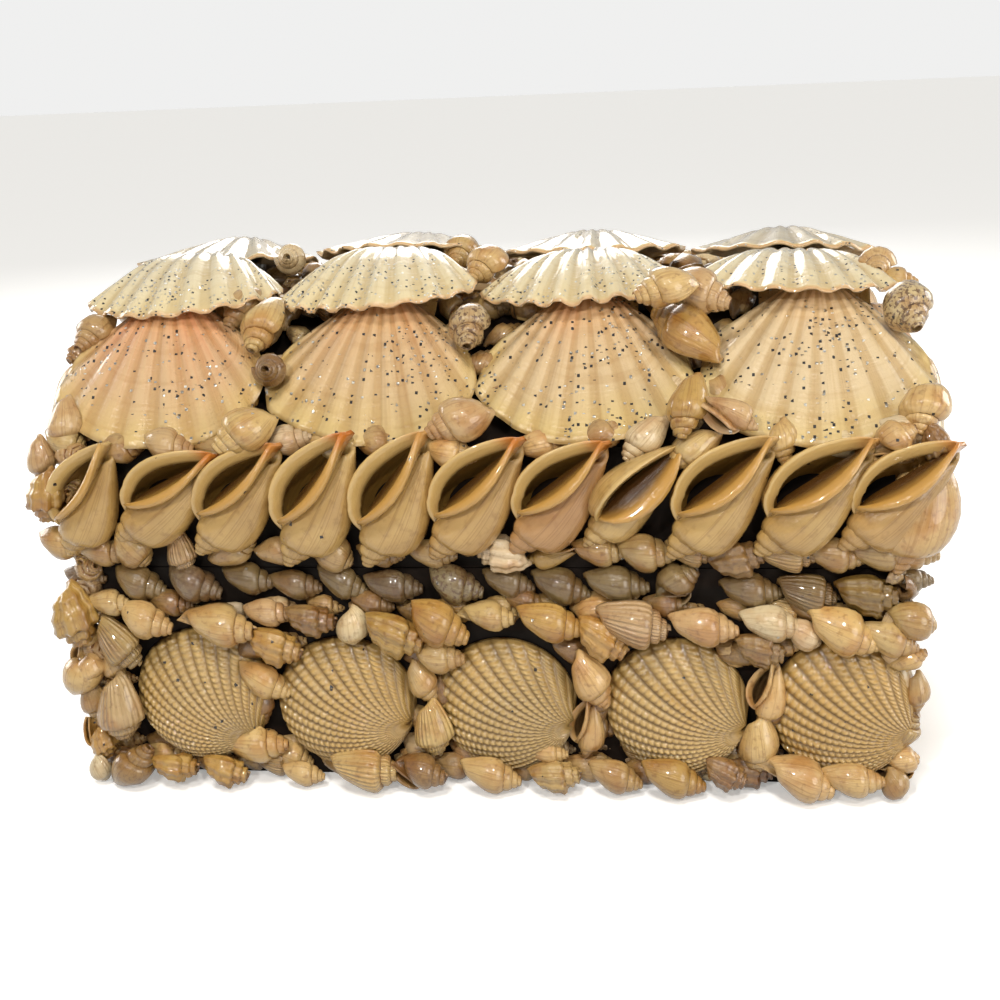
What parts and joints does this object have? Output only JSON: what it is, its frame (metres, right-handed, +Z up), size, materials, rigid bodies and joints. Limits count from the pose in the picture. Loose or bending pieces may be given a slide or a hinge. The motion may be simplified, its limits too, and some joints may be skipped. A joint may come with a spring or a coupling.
{
  "type": "shell box",
  "caption": "Keepsake box with a hollow body and lift-off lid, its walls, slopes and top covered with glued and lacquered sea shells.",
  "frame": {"origin": "on the underside, at the middle of the whole object's footprint", "axes": "+X to the right along the box's length, +Y from front to back, +Z up"},
  "size_m": [0.2824, 0.2082, 0.1661],
  "materials": {
    "carcass": "dark paint on board, satin, seen only in the gaps and inside",
    "scallop": "natural shell under clear gloss lacquer with silver and black glitter",
    "pale_scallop": "natural pale shell under clear gloss lacquer with dense silver glitter",
    "conch": "natural tan shell under clear gloss lacquer",
    "cockle": "beaded cream shell under clear lacquer, golden in the grooves"
  },
  "bodies": {
    "root": {"box_body": "carcass", "box_lid": "carcass", "front_slope_scallop_1": "scallop", "front_slope_scallop_2": "scallop", "front_slope_scallop_3": "scallop", "front_slope_scallop_4": "scallop", "top_front_scallop_1": "pale_scallop", "top_front_scallop_2": "pale_scallop", "top_front_scallop_3": "pale_scallop", "top_front_scallop_4": "pale_scallop", "top_rear_scallop_1": "pale_scallop", "top_rear_scallop_2": "pale_scallop", "top_rear_scallop_3": "pale_scallop", "top_rear_scallop_4": "pale_scallop", "front_conch_1": "conch", "front_conch_2": "conch", "front_conch_3": "conch", "front_conch_4": "conch", "front_conch_5": "conch", "front_conch_6": "conch", "front_conch_7": "conch", "front_conch_8": "conch", "front_conch_9": "conch", "front_conch_10": "conch", "front_conch_11": "conch", "front_cockle_1": "cockle", "front_cockle_2": "cockle", "front_cockle_3": "cockle", "front_cockle_4": "cockle", "front_cockle_5": "cockle", "back_slope_scallop_1": "scallop", "back_slope_scallop_2": "scallop", "back_slope_scallop_3": "scallop", "back_slope_scallop_4": "scallop", "back_cockle_1": "cockle", "back_cockle_2": "cockle", "back_cockle_3": "cockle", "back_cockle_4": "cockle", "right_end_scallop_1": "scallop", "right_end_scallop_2": "scallop", "right_end_scallop_3": "scallop", "right_end_scallop_4": "scallop", "right_conch_1": "conch", "right_conch_2": "conch", "right_conch_3": "conch", "right_conch_4": "conch", "right_cockle_1": "cockle", "right_cockle_2": "cockle", "right_cockle_3": "cockle", "left_end_scallop_1": "scallop", "left_end_scallop_2": "scallop", "left_end_scallop_3": "scallop", "left_end_scallop_4": "scallop", "left_conch_1": "conch", "left_conch_2": "conch", "left_conch_3": "conch", "left_conch_4": "conch", "left_cockle_1": "cockle", "left_cockle_2": "cockle", "left_cockle_3": "cockle"}
  },
  "joints": []
}
